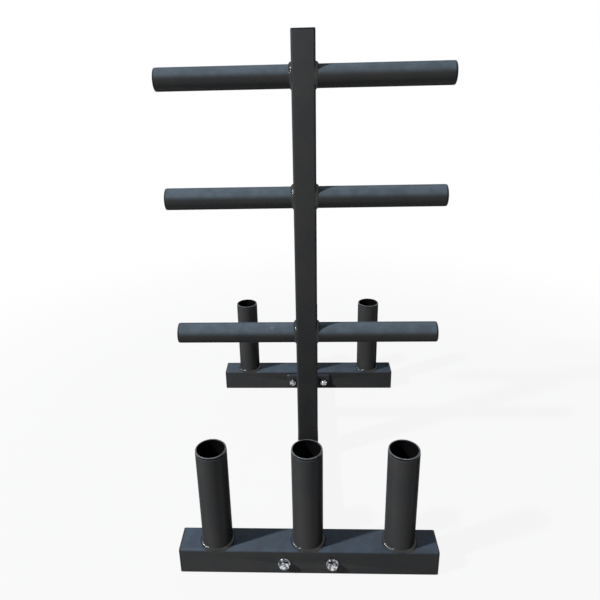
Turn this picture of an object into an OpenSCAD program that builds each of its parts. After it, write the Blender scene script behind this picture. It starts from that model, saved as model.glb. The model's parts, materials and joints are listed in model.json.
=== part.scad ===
// Plate tree with bar holders. A square mast carries three pairs of horns for weight plates. It stands on
// a base beam that is bolted between two crossbars, and each crossbar carries three upright bar holders.
// X is to the right, Y runs from the front crossbar to the rear one and Z is up.
// The origin is on the floor, under the middle of the mast.

/* [Mast] */
// Side of the square mast tube
mast_w = 50; // [49:1:60]
// Length of the mast tube, from the base beam to its open top
mast_l = 968; // [945:1:1200]
// Wall of the mast tube
mast_wall = 3; // [2:0.5:4]
// Outer corner radius of the mast tube
mast_corner = 5; // [4.5:0.5:8]

/* [Horns] */
// Outer diameter of the horn tubes
horn_d = 48.3; // [42.4:0.1:49]
// Wall of the horn tubes
horn_wall = 3; // [2:0.5:4]
// Length of the horn tubes, from the side of the mast
horn_l = 280; // [200:1:340]
// Height of the lower pair's axis above the floor
lower_horn_z = 352; // [300:1:450]
// Height of the middle pair's axis above the floor
middle_horn_z = 682; // [550:1:750]
// Height of the upper pair's axis above the floor
upper_horn_z = 935; // [850:1:965]

/* [Base] */
// Overall depth of the base, from face to face of the crossbars
base_depth = 740; // [600:1:900]
// Side of the square base beam
beam_w = 50; // [40:1:51]
// Wall of the base beam
beam_wall = 3; // [2:0.5:4]
// Outer corner radius of the base beam
beam_corner = 5; // [4.5:0.5:8]
// Side of the square crossbar tubes
crossbar_w = 60; // [60:1:80]
// Length of the crossbar tubes, without their end caps
crossbar_l = 506; // [440:1:700]
// Wall of the crossbar tubes
crossbar_wall = 3; // [2:0.5:4]
// Outer corner radius of the crossbar tubes
crossbar_corner = 5; // [4.5:0.5:8]
// Length of the flange plates at the ends of the base beam
plate_l = 128; // [120:1:150]
// Height of the flange plates, which cover the flats of the base beam's sides and a little more
plate_h = 42; // [41:1:50]
// Thickness of the flange plates
plate_t = 6; // [4:0.5:10]

/* [Bar holders] */
// Outer diameter of the holder tubes
holder_d = 60.3; // [57:0.1:64]
// Wall of the holder tubes
holder_wall = 2; // [1.5:0.1:3]
// Length of the holder tubes
holder_l = 214.5; // [150:0.5:300]
// Distance between neighbouring holders
holder_pitch = 182; // [120:1:210]
// Overall length of a liner, with its flange
liner_l = 45; // [20:1:120]
// Wall of the liner's sleeve
liner_wall = 1.2; // [1:0.1:2]
// Thickness of the liner's flange
liner_flange_t = 4.5; // [2:0.5:6]
// How far the liner's flange stays inside the holder's outer edge
liner_inset = 0.5; // [0.2:0.1:1]
// Rounding of the liner flange's upper edges
liner_edge = 1; // [0.4:0.1:1.4]
// Gap all round between the liner's sleeve and the holder
liner_fit = 0.1; // [0.05:0.05:0.3]

/* [End caps] */
// Thickness of the end caps' flanges
cap_flange_t = 4; // [3:0.5:6]
// Rounding or chamfer of the flanges' outer edges
cap_edge = 1.2; // [0.5:0.1:2]
// How far a flange stays inside the tube's outer edge
cap_inset = 0.2; // [0.1:0.1:1]
// Length of the plug inside the tube
cap_plug_l = 18; // [10:1:30]
// Wall of the plug
cap_plug_wall = 2; // [1.5:0.1:3]
// Height of the fins round the plug
cap_fin_h = 0.6; // [0.3:0.1:1]
// Thickness of the fins
cap_fin_t = 1.2; // [0.8:0.1:2]
// Number of fins on a plug
cap_fins = 3; // [2:1:4]
// Gap all round between the fins and the tube
cap_fit = 0.1; // [0.05:0.05:0.3]

/* [Fasteners] */
// Distance between the two bolts of a flange plate
bolt_pitch = 95; // [85:1:100]
// Diameter of the bolts
bolt_d = 12; // [10:1:12]
// Pitch of the thread
thread_pitch = 1.75; // [1:0.25:1.75]
// Length of thread on a bolt
thread_l = 30; // [26:1:34]
// Width across flats of the heads and nuts
hex_af = 18; // [17:1:19]
// Height of the bolt heads
head_h = 7.5; // [6:0.1:8]
// Height of the nuts
nut_h = 10; // [8:0.1:11]
// How far a bolt stands out of its nut
bolt_tail = 6.5; // [2:0.5:12]
// Diameter of the bolt holes
bolt_hole_d = 13; // [12.5:0.1:14]
// Outer diameter of the washers under the heads
washer_d = 24; // [22:1:26]
// Inner diameter of the washers
washer_hole_d = 13; // [12.3:0.1:14]
// Thickness of the washers
washer_t = 2.5; // [1.5:0.1:3]
// Gap all round between a bolt and its nut
thread_fit = 0.1; // [0.05:0.05:0.2]

/* [Welds] */
// Leg of the beads round the horns' roots
horn_weld = 6; // [4:0.5:8]
// Leg of the beads round the holders' bases
holder_weld = 5; // [3:0.5:8]
// Leg of the beads at the mast's foot
mast_weld = 5; // [3:0.5:8]
// Leg of the beads between the base beam and its flange plates
plate_weld = 4.5; // [3:0.5:4.5]
// Depth to which the beads round the horns and holders have fused into their walls
weld_bite = 0.5; // [0.2:0.1:0.8]

/* [Hidden] */
$fn = 64;

// Each end, side, row and level has a name and a place
ENDS = [["front", -1], ["rear", 1]];
SIDES = [["left", -1], ["right", 1]];
ROWS = [["left", -1], ["centre", 0], ["right", 1]];
LEVELS = [["lower", lower_horn_z], ["middle", middle_horn_z], ["upper", upper_horn_z]];

STEEL = "#35373a";
PLASTIC = "#141517";
ZINC = "#b9bec4";

// Places that follow from the sizes
axle_z = crossbar_w / 2;
beam_top = axle_z + beam_w / 2;
crossbar_y = base_depth / 2 - crossbar_w / 2;
plate_y = base_depth / 2 - crossbar_w - plate_t;
liner_bore_r = holder_d / 2 - holder_wall - liner_fit - liner_wall;

// Distance of a bead's crown from either face, as a share of its leg: half a leg is a flat bead
bead_crown = 0.6;
// Share of a tube's corner radius that the weld's root fills under a tube that overhangs the corner
root_share = 0.6;
// Turn of each bolt's head and of each nut, as they were tightened
HEAD_TURNS = [12, 41];
NUT_TURNS = [25, 52];
// Depth of a thread as a share of its pitch, and slope of the chamfers on heads and nuts
thread_depth_share = 0.6;
hex_chamfer_slope = tan(30);
// Share of the width across flats that a head's flat outer face takes
hex_face_share = 0.95;

// Outline of a square tube of side w with corner radius r
module rounded_square(w, r) {
    square([w, w - 2 * r], center = true);
    square([w - 2 * r, w], center = true);
    for (x = [-1, 1], y = [-1, 1]) {
        translate([x, y] * (w / 2 - r)) circle(r);
    }
}

// Section of a square tube
module tube_section(w, wall, r) {
    difference() {
        rounded_square(w, r);
        rounded_square(w - 2 * wall, max(r - wall, 0.5));
    }
}

// Section of a weld bead in the corner of the two axes, bulging a little between its legs
module bead_section(leg) {
    crown = leg * bead_crown;
    polygon([[0, 0], [leg, 0], [crown, crown], [0, leg]]);
}

// Bead along X in the corner between a floor and a wall that faces +Y
module straight_bead(l, leg) {
    rotate([90, 0, 90]) linear_extrude(l, center = true) bead_section(leg);
}

// Beads down both sides of an upright square tube of side w, l long, that turn its corners of radius r by angle
module side_beads(w, r, l, leg, angle) {
    for (turn = [90, 270]) {
        rotate([0, 0, turn]) {
            translate([0, w / 2, 0]) straight_bead(l, leg);
            if (angle > 0) for (side = [-1, 1]) {
                translate([side * (w / 2 - r), w / 2 - r, 0]) rotate([0, 0, 90 - angle * (1 + side) / 2]) {
                    rotate_extrude(angle = angle) translate([r, 0]) bead_section(leg);
                }
            }
        }
    }
}

// Bead round an upright round tube, with a root that reaches below the floor and under the tube's wall
module round_bead(r, wall, leg, root) {
    rotate_extrude() {
        translate([r, 0]) bead_section(leg);
        translate([r - weld_bite, 0]) square([weld_bite, leg]);
        translate([r - wall, -root]) square([leg + wall, root]);
    }
}

// Upright round tube, thinner at its root, where the bead of that leg has fused with it
module welded_tube(r, wall, l, leg) {
    rotate_extrude() {
        polygon([
            [r - wall, 0],
            [r - weld_bite, 0],
            [r - weld_bite, leg],
            [r, leg],
            [r, l],
            [r - wall, l]
        ]);
    }
}

// The rear end's pieces as drawn, and the front end's turned half a turn about the mast
module at_end(end) {
    rotate([0, 0, 90 - 90 * end]) children();
}

// The two bolt axes of an end at the distance y: Z of the children points outward
module at_bolts(y, turns) {
    for (i = [0, 1]) {
        translate([(i - 0.5) * bolt_pitch, y, axle_z]) rotate([-90, turns[i], 0]) children();
    }
}

module bolt_holes() {
    at_bolts(crossbar_y, [0, 0]) {
        cylinder(h = 2 * crossbar_w, d = bolt_hole_d, center = true);
    }
}

// Hexagon prism with its upper corners taken off, and its lower ones too where both is true
module hexagon(h, both) {
    corner = hex_af / sqrt(3);
    flat = hex_af / 2 * hex_face_share;
    drop = (corner - flat) * hex_chamfer_slope;
    intersection() {
        cylinder(h = h, r = corner, $fn = 6);
        rotate_extrude() {
            polygon([
                [0, 0],
                [both ? flat : corner, 0],
                [corner, both ? drop : 0],
                [corner, h - drop],
                [flat, h],
                [0, h]
            ]);
        }
    }
}

module mast() {
    color(STEEL) translate([0, 0, beam_top]) {
        linear_extrude(mast_l) tube_section(mast_w, mast_wall, mast_corner);
    }
}

// Beads in front of and behind the mast, and fills over the beam's rounded corners beside it
module mast_foot_welds() {
    flat_x = min(mast_w - 2 * mast_corner, beam_w - 2 * beam_corner);
    flat_y = mast_w - 2 * mast_corner;
    root = beam_corner * root_share;
    edge_x = min(mast_w, beam_w) / 2;
    color(STEEL) {
        for (turn = [0, 180]) {
            rotate([0, 0, turn]) translate([0, mast_w / 2, beam_top]) straight_bead(flat_x, mast_weld);
        }
        for (side = [-1, 1]) {
            difference() {
                translate([side * (edge_x - root / 2), 0, beam_top - root / 2]) {
                    cube([root, flat_y, root], center = true);
                }
                beam_outline(2 * flat_y);
            }
        }
    }
}

module beam_outline(l) {
    translate([0, 0, axle_z]) rotate([90, 0, 0]) {
        linear_extrude(l, center = true) rounded_square(beam_w, beam_corner);
    }
}

module base_beam() {
    color(STEEL) translate([0, 0, axle_z]) rotate([90, 0, 0]) {
        linear_extrude(2 * plate_y, center = true) tube_section(beam_w, beam_wall, beam_corner);
    }
}

// Puts children on a horn's axis, with Z along it and zero at the distance x from the mast's middle
module along_horn(side, z, x) {
    translate([side * x, 0, z]) rotate([0, 90 * side, 0]) children();
}

module horn(side, z) {
    color(STEEL) along_horn(side, z, mast_w / 2) welded_tube(horn_d / 2, horn_wall, horn_l, horn_weld);
}

// Beads round the two horns of one level, flush with the mast's front and rear faces
module horn_welds(z) {
    reach = mast_w + horn_d;
    color(STEEL) for (side = [-1, 1]) {
        difference() {
            intersection() {
                along_horn(side, z, mast_w / 2) {
                    round_bead(horn_d / 2, horn_wall, horn_weld, mast_corner * root_share);
                }
                translate([0, 0, z]) cube([2 * reach, mast_w, 2 * reach], center = true);
            }
            translate([0, 0, z]) {
                linear_extrude(2 * reach, center = true) rounded_square(mast_w, mast_corner);
            }
        }
    }
}

// Round end cap: the tube's end is at zero, with the flange above it and the finned plug below
module round_cap(d, wall) {
    flange_r = d / 2 - cap_inset;
    plug_r = d / 2 - wall - cap_fit - cap_fin_h;
    rotate_extrude() {
        square([flange_r, cap_flange_t - cap_edge]);
        square([flange_r - cap_edge, cap_flange_t]);
        translate([flange_r - cap_edge, cap_flange_t - cap_edge]) {
            intersection() {
                circle(cap_edge);
                square(cap_edge);
            }
        }
        translate([plug_r - cap_plug_wall, -cap_plug_l]) square([cap_plug_wall, cap_plug_l]);
        for (i = [1:cap_fins]) {
            translate([plug_r, -i * cap_plug_l / (cap_fins + 1) - cap_fin_t / 2]) {
                square([cap_fin_h, cap_fin_t]);
            }
        }
    }
}

// Square end cap, laid out as the round one
module square_cap(w, wall, r) {
    flange_w = w - 2 * cap_inset;
    fin_w = w - 2 * wall - 2 * cap_fit;
    fin_r = max(r - wall, 0.5);
    plug_w = fin_w - 2 * cap_fin_h;
    intersection() {
        linear_extrude(cap_flange_t) rounded_square(flange_w, r);
        for (turn = [0, 90]) {
            rotate([90, 0, turn]) linear_extrude(w, center = true) {
                polygon([
                    [-flange_w / 2, 0],
                    [flange_w / 2, 0],
                    [flange_w / 2, cap_flange_t - cap_edge],
                    [flange_w / 2 - cap_edge, cap_flange_t],
                    [cap_edge - flange_w / 2, cap_flange_t],
                    [-flange_w / 2, cap_flange_t - cap_edge]
                ]);
            }
        }
    }
    translate([0, 0, -cap_plug_l]) {
        linear_extrude(cap_plug_l) tube_section(plug_w, cap_plug_wall, fin_r);
    }
    for (i = [1:cap_fins]) {
        translate([0, 0, -i * cap_plug_l / (cap_fins + 1) - cap_fin_t / 2]) {
            linear_extrude(cap_fin_t) difference() {
                rounded_square(fin_w, fin_r);
                rounded_square(plug_w - 2 * cap_plug_wall, fin_r);
            }
        }
    }
}

module horn_cap(side, z) {
    color(PLASTIC) along_horn(side, z, mast_w / 2 + horn_l) round_cap(horn_d, horn_wall);
}

module mast_cap() {
    color(PLASTIC) translate([0, 0, beam_top + mast_l]) square_cap(mast_w, mast_wall, mast_corner);
}

module crossbar_outline(end, l) {
    translate([0, end * crossbar_y, axle_z]) rotate([90, 0, 90]) {
        linear_extrude(l, center = true) rounded_square(crossbar_w, crossbar_corner);
    }
}

module crossbar(end) {
    color(STEEL) difference() {
        translate([0, end * crossbar_y, axle_z]) rotate([90, 0, 90]) {
            linear_extrude(crossbar_l, center = true) {
                tube_section(crossbar_w, crossbar_wall, crossbar_corner);
            }
        }
        at_end(end) bolt_holes();
    }
}

module crossbar_cap(end, side) {
    color(PLASTIC) translate([side * crossbar_l / 2, end * crossbar_y, axle_z]) {
        rotate([0, 90 * side, 0]) square_cap(crossbar_w, crossbar_wall, crossbar_corner);
    }
}

module flange_plate(end) {
    color(STEEL) at_end(end) difference() {
        translate([-plate_l / 2, plate_y, axle_z - plate_h / 2]) cube([plate_l, plate_t, plate_h]);
        bolt_holes();
    }
}

// Beads down the beam's sides, which turn its corners as far as the plate's upper and lower edges let them
module flange_weld(end) {
    flat = beam_w / 2 - beam_corner;
    reach = max(0, plate_h / 2 - flat);
    angle = asin(min(0.95, reach / (beam_corner + plate_weld)));
    color(STEEL) at_end(end) translate([0, plate_y, axle_z]) rotate([90, 0, 0]) {
        side_beads(beam_w, beam_corner, 2 * min(flat, plate_h / 2), plate_weld, angle);
    }
}

// Puts children on a holder's axis, at the height z
module at_holder(end, row, z) {
    translate([row * holder_pitch, end * crossbar_y, z]) children();
}

module bar_holder(end, row) {
    color(STEEL) at_holder(end, row, crossbar_w) {
        welded_tube(holder_d / 2, holder_wall, holder_l, holder_weld);
    }
}

// Flanged sleeve in a holder's mouth, with the flange's upper edges rounded
module holder_liner(end, row) {
    flange_w = holder_d / 2 - liner_inset - liner_bore_r;
    sleeve_l = liner_l - liner_flange_t;
    color(PLASTIC) at_holder(end, row, crossbar_w + holder_l) rotate_extrude() {
        translate([liner_bore_r, -sleeve_l]) square([liner_wall, sleeve_l]);
        translate([liner_bore_r, 0]) {
            square([flange_w, liner_flange_t - liner_edge]);
            translate([liner_edge, 0]) square([flange_w - 2 * liner_edge, liner_flange_t]);
            for (x = [liner_edge, flange_w - liner_edge]) {
                translate([x, liner_flange_t - liner_edge]) circle(liner_edge);
            }
        }
    }
}

// Beads round an end's three holders, flush with the crossbar's front and rear faces
module holder_welds(end) {
    reach = holder_d + 2 * holder_weld;
    color(STEEL) for (row = ROWS) {
        difference() {
            intersection() {
                at_holder(end, row[1], crossbar_w) {
                    round_bead(holder_d / 2, holder_wall, holder_weld, crossbar_corner * root_share);
                }
                at_holder(end, row[1], crossbar_w) cube([reach, crossbar_w, reach], center = true);
            }
            crossbar_outline(end, 2 * (holder_pitch + reach));
        }
    }
}

// Bolts with their heads on the crossbar's outer face
module bolts(end) {
    grip = washer_t + crossbar_w + plate_t + nut_h;
    shank_l = grip + bolt_tail;
    r = bolt_d / 2;
    root_r = r - thread_pitch * thread_depth_share;
    grooves = floor(thread_l / thread_pitch);
    color(ZINC) at_end(end) at_bolts(base_depth / 2 + washer_t, HEAD_TURNS) {
        hexagon(head_h, false);
        rotate_extrude() {
            polygon(concat(
                [[0, 0], [r, 0]],
                [for (i = [grooves:-1:1]) each [
                    [r, -shank_l + i * thread_pitch],
                    [root_r, -shank_l + (i - 0.5) * thread_pitch]
                ]],
                [[root_r, -shank_l], [0, -shank_l]]
            ));
        }
    }
}

// Washers under the heads
module washers(end) {
    color(ZINC) at_end(end) at_bolts(base_depth / 2, [0, 0]) difference() {
        cylinder(h = washer_t, d = washer_d);
        translate([0, 0, -1]) cylinder(h = washer_t + 2, d = washer_hole_d);
    }
}

// Nuts on the flange plate
module nuts(end) {
    color(ZINC) at_end(end) at_bolts(plate_y - nut_h, NUT_TURNS) difference() {
        hexagon(nut_h, true);
        translate([0, 0, -1]) cylinder(h = nut_h + 2, r = bolt_d / 2 + thread_fit);
    }
}

mast();
mast_cap();
mast_foot_welds();
base_beam();

for (level = LEVELS) {
    for (side = SIDES) {
        name = str(side[0], "_", level[0], "_horn");
        horn(side[1], level[1]);
        horn_cap(side[1], level[1]);
    }
    horn_welds(level[1]);
}

for (end = ENDS) {
    crossbar(end[1]);
    for (side = SIDES) {
        name = str(end[0], "_", side[0], "_crossbar_cap");
        crossbar_cap(end[1], side[1]);
    }
    for (row = ROWS) {
        name = str(end[0], "_", row[0]);
        bar_holder(end[1], row[1]);
        holder_liner(end[1], row[1]);
    }
    flange_plate(end[1]);
    flange_weld(end[1]);
    holder_welds(end[1]);
    bolts(end[1]);
    washers(end[1]);
    nuts(end[1]);
}
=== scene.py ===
"""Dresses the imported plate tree: a square mast with plate horns, on a bolted base with bar holders.

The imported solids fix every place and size. The base beam keeps its solid and gets a finish. Every
other piece is remade on the place of its solid, with what a plain solid leaves out: broken edges,
rippled beads, crowned plugs, threads and chamfered hexagons.
"""

from __future__ import annotations

import json
import logging
import math
from collections.abc import Sequence
from dataclasses import dataclass, field
from enum import Enum

import bmesh
import bpy
import numpy as np
from mathutils import Matrix, Vector

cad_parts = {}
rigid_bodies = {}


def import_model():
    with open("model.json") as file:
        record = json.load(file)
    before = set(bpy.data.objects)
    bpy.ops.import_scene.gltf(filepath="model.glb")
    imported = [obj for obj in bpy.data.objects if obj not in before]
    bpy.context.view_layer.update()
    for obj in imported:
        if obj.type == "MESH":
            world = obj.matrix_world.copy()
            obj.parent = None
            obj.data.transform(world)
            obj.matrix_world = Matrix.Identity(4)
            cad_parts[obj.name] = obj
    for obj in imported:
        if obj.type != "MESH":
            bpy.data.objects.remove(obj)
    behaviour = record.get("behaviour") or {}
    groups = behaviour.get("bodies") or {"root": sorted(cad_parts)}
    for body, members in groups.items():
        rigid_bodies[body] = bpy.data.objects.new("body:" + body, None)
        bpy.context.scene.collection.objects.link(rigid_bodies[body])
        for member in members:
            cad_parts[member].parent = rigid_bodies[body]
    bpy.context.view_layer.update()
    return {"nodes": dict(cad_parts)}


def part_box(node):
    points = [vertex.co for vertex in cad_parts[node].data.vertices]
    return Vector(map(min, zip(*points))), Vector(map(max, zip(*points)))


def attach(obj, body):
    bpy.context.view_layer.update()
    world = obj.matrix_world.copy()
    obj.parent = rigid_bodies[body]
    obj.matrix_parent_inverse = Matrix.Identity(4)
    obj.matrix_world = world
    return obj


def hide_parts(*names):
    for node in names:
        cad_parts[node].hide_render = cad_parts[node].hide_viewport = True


Array = np.ndarray
Colour = tuple[float, float, float]
Point = tuple[float, float, float]
Range = tuple[float, float]
Socket = bpy.types.NodeSocket
Material = bpy.types.Material

MM = 0.001
TURN = 2 * math.pi
SAME_POINT = 1e-8
MERGE_DISTANCE = 2e-6
LOG = logging.getLogger("plate_tree")


class Side(Enum):
    """Side of the mast, with its direction along X."""

    LEFT = -1
    RIGHT = 1


class End(Enum):
    """End of the base, with its direction along Y."""

    FRONT = -1
    REAR = 1


class Row(Enum):
    """Place of a bar holder on its crossbar, counted from the left."""

    LEFT = 0
    CENTRE = 1
    RIGHT = 2


class Level(Enum):
    """Height of a pair of horns, counted from below."""

    LOWER = 0
    MIDDLE = 1
    UPPER = 2


class Slot(Enum):
    """Material slot of the record that a piece takes its finish from."""

    PAINT = "frame_paint"
    PLASTIC = "black_plastic"
    ZINC = "zinc"


def word(choice: Enum) -> str:
    """Return the choice's name as it stands in the names of nodes."""
    return choice.name.lower()


@dataclass
class Shell:
    """A surface as arrays: points of shape (n, 3) in metres, and quads of shape (m, 4)."""

    points: Array
    quads: Array


def lattice(grid: Array, rows_close: bool, columns_close: bool = True) -> Shell:
    """Join a grid of points into quads.

    The point in row i and column j meets its neighbours in rows i + 1 and columns j + 1, and a
    direction that closes runs on from its last point to its first.

    Args:
        grid: points of shape (rows, columns, 3).
        rows_close: whether the last row meets the first one.
        columns_close: whether the last column meets the first one.

    Returns:
        The surface of the grid.
    """
    numbers = np.arange(grid.shape[0] * grid.shape[1]).reshape(grid.shape[:2])
    if rows_close:
        numbers = np.vstack([numbers, numbers[:1]])
    if columns_close:
        numbers = np.hstack([numbers, numbers[:, :1]])
    corners = (numbers[:-1, :-1], numbers[:-1, 1:], numbers[1:, 1:], numbers[1:, :-1])
    return Shell(grid.reshape(-1, 3), np.stack(corners, axis=-1).reshape(-1, 4))


def joined(shells: Sequence[Shell]) -> Shell:
    """Put several shells into one.

    Args:
        shells: the shells, in order.

    Returns:
        One shell, with the quads of each counted on from the points before it.
    """
    starts = np.cumsum([0] + [len(shell.points) for shell in shells[:-1]])
    quads = [shell.quads + start for shell, start in zip(shells, starts)]
    return Shell(np.vstack([shell.points for shell in shells]), np.vstack(quads))


def unit(vectors: Array) -> Array:
    """Scale each row to the length one."""
    return vectors / np.linalg.norm(vectors, axis=-1, keepdims=True)


def polar(radius: Array, angle: Array, height: Array) -> Array:
    """Return the points (radius * cos angle, radius * sin angle, height), spread to one grid."""
    parts = np.broadcast_arrays(radius * np.cos(angle), radius * np.sin(angle), height)
    return np.stack(parts, axis=-1)


def filleted(corners: Array, radii: Array, steps: int = 6) -> Array:
    """Round the corners of a closed outline.

    With unit vectors a and b from a corner c to its neighbours and half the angle between them h,
    the arc's middle lies at c + unit(a + b) * r / sin(h). The arc turns from c + a * r / tan(h) to
    c + b * r / tan(h), by an even share of the angle at each step.

    Args:
        corners: corners of shape (n, 2), in order.
        radii: one radius for each corner, zero for a sharp one.
        steps: points on each arc.

    Returns:
        The rounded outline's points, without repeats.
    """
    before = unit(np.roll(corners, 1, axis=0) - corners)
    after = unit(np.roll(corners, -1, axis=0) - corners)
    half = np.arccos(np.clip((before * after).sum(axis=1), -1, 1)) / 2
    middle = corners + unit(before + after) * (radii / np.sin(half))[:, None]
    first = corners + before * (radii / np.tan(half))[:, None] - middle
    last = corners + after * (radii / np.tan(half))[:, None] - middle
    sweep = (math.pi - 2 * half)[:, None]
    share = np.linspace(0, 1, steps)
    lead = (np.sin((1 - share) * sweep) / np.sin(sweep))[..., None]
    trail = (np.sin(share * sweep) / np.sin(sweep))[..., None]
    points = (middle[:, None] + lead * first[:, None] + trail * last[:, None]).reshape(-1, 2)
    fresh = np.linalg.norm(points - np.roll(points, 1, axis=0), axis=1) > SAME_POINT
    return points[fresh]


def braced(outline: Array, reach: float = 0.6 * MM) -> Array:
    """Add a point near both ends of each long stretch, so that its faces shade flat up to them.

    Args:
        outline: points of a closed outline, of shape (n, 2).
        reach: how far a new point lies from its end. A stretch is long from four times that.

    Returns:
        The outline with its new points.
    """
    stretch = np.roll(outline, -1, axis=0) - outline
    length = np.linalg.norm(stretch, axis=1, keepdims=True)
    step = stretch / length * reach
    points = np.stack([outline, outline + step, outline + stretch - step], axis=1)
    keep = np.repeat(length > 4 * reach, 3, axis=1)
    keep[:, 0] = True
    return points[keep]


def revolved(profile: Array, closed: bool, turns: int = 96) -> Shell:
    """Turn a profile about Z.

    The point at the angle a is (radius * cos a, radius * sin a, height).

    Args:
        profile: points of radius and height, of shape (n, 2).
        closed: whether the last point runs on to the first one. Otherwise both lie on the axis.
        turns: points of a ring.

    Returns:
        The closed skin.
    """
    angle = np.linspace(0, TURN, turns, endpoint=False)
    return lattice(polar(profile[:, :1], angle, profile[:, 1:]), rows_close=closed)


def turned(section: Sequence[Point], turns: int = 128, reach: float = 0.6 * MM) -> Shell:
    """Turn a closed section with rounded corners about Z.

    Args:
        section: radius, height and rounding of each corner, counterclockwise.
        turns: points of a ring.
        reach: how far past a rounding its faces are braced.

    Returns:
        The closed skin.
    """
    corners = np.array(section)
    outline = filleted(corners[:, :2], corners[:, 2])
    return revolved(braced(outline, reach), closed=True, turns=turns)


def square_rings(span: Array, radius: Array, height: Array) -> Array:
    """Lay rounded squares above one another.

    A ring's point is corner * span + normal * radius. Round each corner the normal turns while the
    corner stays, and along each side the corner slides to the next one while the normal stays.

    Args:
        span: for each ring, the distance of its corners' middles from both axes.
        radius: for each ring, the radius of its corners.
        height: for each ring, its height.

    Returns:
        A grid of points of shape (rings, points of a ring, 3).
    """
    corner_points, side_parts = 9, 6
    quarter = np.arange(4)[:, None] * math.pi / 2
    bend = quarter + np.linspace(0, math.pi / 2, corner_points)
    still = np.repeat(quarter + math.pi / 2, side_parts - 1, axis=1)
    angle = np.hstack([bend, still])
    normal = np.stack([np.cos(angle), np.sin(angle)], axis=-1)
    diagonal = quarter + math.pi / 4
    here = math.sqrt(2) * np.stack([np.cos(diagonal), np.sin(diagonal)], axis=-1)
    share = np.concatenate([np.zeros(corner_points), np.arange(1, side_parts) / side_parts])
    share = share[None, :, None]
    corner = here * (1 - share) + np.roll(here, -1, axis=0) * share
    corner, normal = corner.reshape(-1, 2), normal.reshape(-1, 2)
    flat = corner[None] * span[:, None, None] + normal[None] * radius[:, None, None]
    level = np.broadcast_to(height[:, None, None], flat.shape[:2] + (1,))
    return np.concatenate([flat, level], axis=2)


def circle(radius: float, count: int = 720) -> Array:
    """Return a circle's points in counterclockwise order."""
    angle = np.linspace(0, TURN, count, endpoint=False)
    return radius * np.column_stack([np.cos(angle), np.sin(angle)])


@dataclass(frozen=True)
class SquareSection:
    """Section of a square tube: half its width, the radius of its corners and its wall."""

    half: float
    corner: float = 5 * MM
    wall: float = 3 * MM

    def outline(self) -> Array:
        """Return its outside's points in counterclockwise order."""
        span = np.array([self.half - self.corner])
        return square_rings(span, np.array([self.corner]), np.zeros(1))[0, :, :2]

    def side(self, turn: float, steps: int = 9) -> Array:
        """Return its right side's points, with both its corners followed through an angle.

        Args:
            turn: how far each corner is followed.
            steps: points on each corner.

        Returns:
            Points of shape (2 * steps, 2), upwards.
        """
        span = self.half - self.corner
        angle = np.concatenate([np.linspace(-turn, 0, steps), np.linspace(0, turn, steps)])
        middle = np.repeat([-span, span], steps)
        return np.column_stack(
            [span + self.corner * np.cos(angle), middle + self.corner * np.sin(angle)]
        )


MAST_SECTION = SquareSection(half=25 * MM)
BEAM_SECTION = SquareSection(half=25 * MM)
CROSSBAR_SECTION = SquareSection(half=30 * MM)


@dataclass(frozen=True)
class Seam:
    """Stations along an outline: their points, outward normals, shares of the length, and the length."""

    points: Array
    normals: Array
    share: Array
    length: float
    closed: bool


def stations(outline: Array, spacing: float, closed: bool) -> Seam:
    """Walk an outline in even steps.

    Points are interpolated at equal shares of the running length. The outward normal is the line
    between a station's two neighbours, turned a quarter turn clockwise.

    Args:
        outline: points in counterclockwise order round the piece.
        spacing: rough distance between two stations.
        closed: whether the last point runs on to the first one.

    Returns:
        The seam.
    """
    path = np.vstack([outline, outline[:1]]) if closed else outline
    run = np.concatenate([[0], np.cumsum(np.linalg.norm(np.diff(path, axis=0), axis=1))])
    count = int(round(run[-1] / spacing))
    share = np.linspace(0, 1, count, endpoint=not closed)
    points = np.column_stack([np.interp(share * run[-1], run, path[:, axis]) for axis in (0, 1)])
    if closed:
        along = unit(np.roll(points, -1, axis=0) - np.roll(points, 1, axis=0))
    else:
        along = unit(np.gradient(points, axis=0))
    return Seam(points, np.column_stack([along[:, 1], -along[:, 0]]), share, run[-1], closed)


def waver(share: Array, chance: np.random.Generator, waves: int = 9, gain: float = 1.6) -> Array:
    """Draw a closed random curve.

    It is a sum of cosines that go once, twice and so on round, each with a random phase and with a
    height of one over the root of its count.

    Args:
        share: where along its length each value is wanted, from zero to one.
        chance: where the phases come from.
        waves: number of cosines.
        gain: factor that brings the curve to about one either way.

    Returns:
        One value for each share.
    """
    count = np.arange(1, waves + 1)
    phase = chance.uniform(0, TURN, waves)
    height = count**-0.5
    curve = (height * np.cos(TURN * share[:, None] * count + phase)).sum(axis=1)
    return gain * curve / height.sum()


@dataclass(frozen=True)
class Seat:
    """Where a piece's own axes lie: its X, Y and Z run along across, over and out."""

    origin: Point
    across: Point = (1, 0, 0)
    over: Point = (0, 1, 0)
    out: Point = (0, 0, 1)

    def place(self, shell: Shell) -> Shell:
        """Return the shell with each point at origin + x * across + y * over + z * out."""
        axes = np.array([self.across, self.over, self.out])
        return Shell(np.array(self.origin) + shell.points @ axes, shell.quads)


@dataclass(frozen=True)
class RoundTube:
    """Round tube on its own Z axis, from zero, with its outer end's edges broken."""

    radius: float
    wall: float
    length: float
    outer_edge: float = 0.8 * MM
    inner_edge: float = 0.56 * MM
    root_edge: float = 0.1 * MM

    def shell(self) -> Shell:
        """Turn the wall's rectangle, with its corners rounded.

        Returns:
            The closed skin.
        """
        inner = self.radius - self.wall
        return turned(
            [
                (inner, 0, self.root_edge),
                (self.radius, 0, self.root_edge),
                (self.radius, self.length, self.outer_edge),
                (inner, self.length, self.inner_edge),
            ]
        )


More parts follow.
